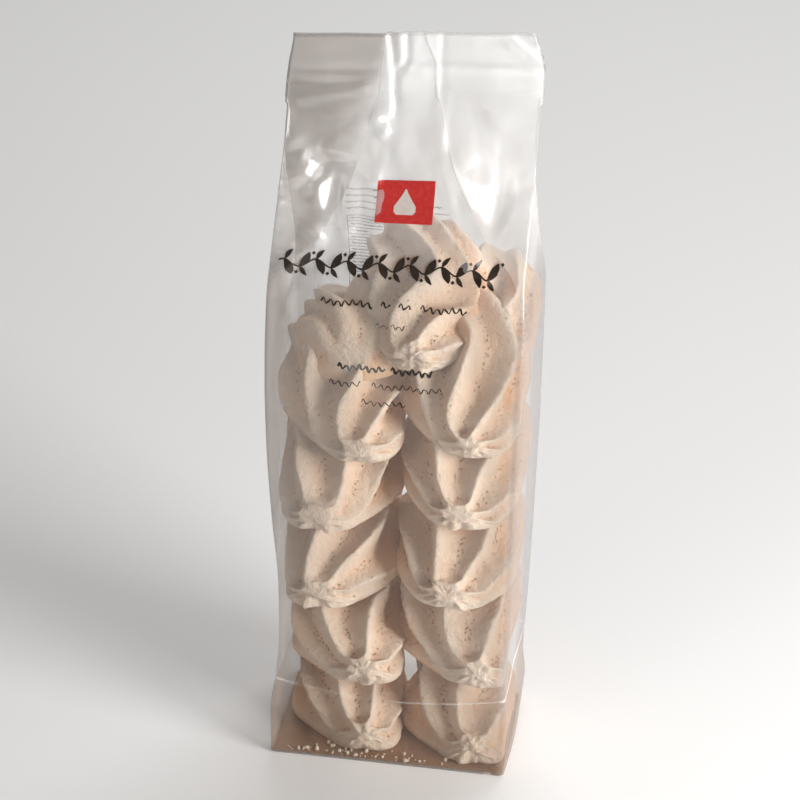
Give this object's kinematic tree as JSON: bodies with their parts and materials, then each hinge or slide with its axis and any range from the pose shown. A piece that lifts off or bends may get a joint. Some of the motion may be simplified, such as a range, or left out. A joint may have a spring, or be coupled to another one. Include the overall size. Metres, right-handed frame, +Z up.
{
  "type": "bag of meringues",
  "caption": "Tall clear block-bottom film bag, heat-sealed across the top and filled with piped meringue shells, standing on its folded base.",
  "frame": {"origin": "middle of the flat base", "axes": "+Z up along the pack, -Y out of the printed front, +X to the right seen from the front"},
  "size_m": [0.105, 0.0672, 0.318],
  "materials": {
    "film": "clear glossy film with soft creases",
    "meringue": "dry and matt, fine grained, warm ivory",
    "print_red": "opaque printed ink, red",
    "print_cream": "opaque printed ink, cream",
    "print_dark": "printed ink, dark brown"
  },
  "bodies": {
    "root": {"bag": "film"}
  },
  "joints": []
}
